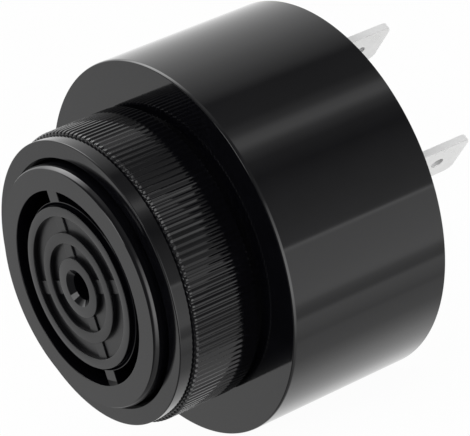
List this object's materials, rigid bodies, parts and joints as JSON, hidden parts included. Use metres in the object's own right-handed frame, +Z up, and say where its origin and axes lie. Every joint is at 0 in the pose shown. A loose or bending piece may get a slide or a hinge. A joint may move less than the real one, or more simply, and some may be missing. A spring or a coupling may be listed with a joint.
{
  "type": "panel-mount electronic buzzer",
  "caption": "Black round panel-mount buzzer with a ringed sound grille on its neck, a finely knurled clamping nut and flat blade terminals at the back.",
  "frame": {"origin": "centre of the shoulder's front face, where the neck leaves the body and the panel bears", "axes": "-Y out of the grille along the neck's axis, +Z up along the grille's upright rib, +X to the right seen from the front"},
  "size_m": [0.043, 0.0416, 0.043],
  "materials": {
    "housing_plastic": "glossy black moulding",
    "nut_plastic": "glossy black moulding with a fine knurl",
    "cover_plastic": "satin black",
    "tin": "bright tin plating on brass",
    "brass": "rolled sheet",
    "ceramic": "fired ceramic",
    "silver": "printed silver film",
    "gasket": "soft and matt",
    "clamp_plastic": "matt moulding",
    "board": "green solder mask on laminate",
    "ferrite": "sintered ferrite",
    "copper": "enamelled copper wire",
    "package": "moulded epoxy with tinned leads",
    "can_sleeve": "shrunk sleeve on a can",
    "resistor_coat": "lacquer",
    "wire_black": "insulated wire",
    "wire_red": "insulated wire",
    "solder": "reflowed solder"
  },
  "bodies": {
    "root": {"housing": "housing_plastic", "ring_nut": "nut_plastic", "rear_cover": "cover_plastic", "terminal_positive": "tin", "terminal_negative": "tin", "piezo_plate": "brass", "piezo_ceramic": "ceramic", "piezo_electrode": "silver", "piezo_gasket": "gasket", "clamp_ring": "clamp_plastic", "circuit_board": "board", "inductor_core": "ferrite", "inductor_winding": "copper", "driver_chip": "package", "transistor": "package", "capacitor": "can_sleeve", "diode": "package", "resistors": "resistor_coat", "wire_plate": "wire_black", "wire_ceramic": "wire_red", "solder_joints": "solder"}
  },
  "joints": []
}
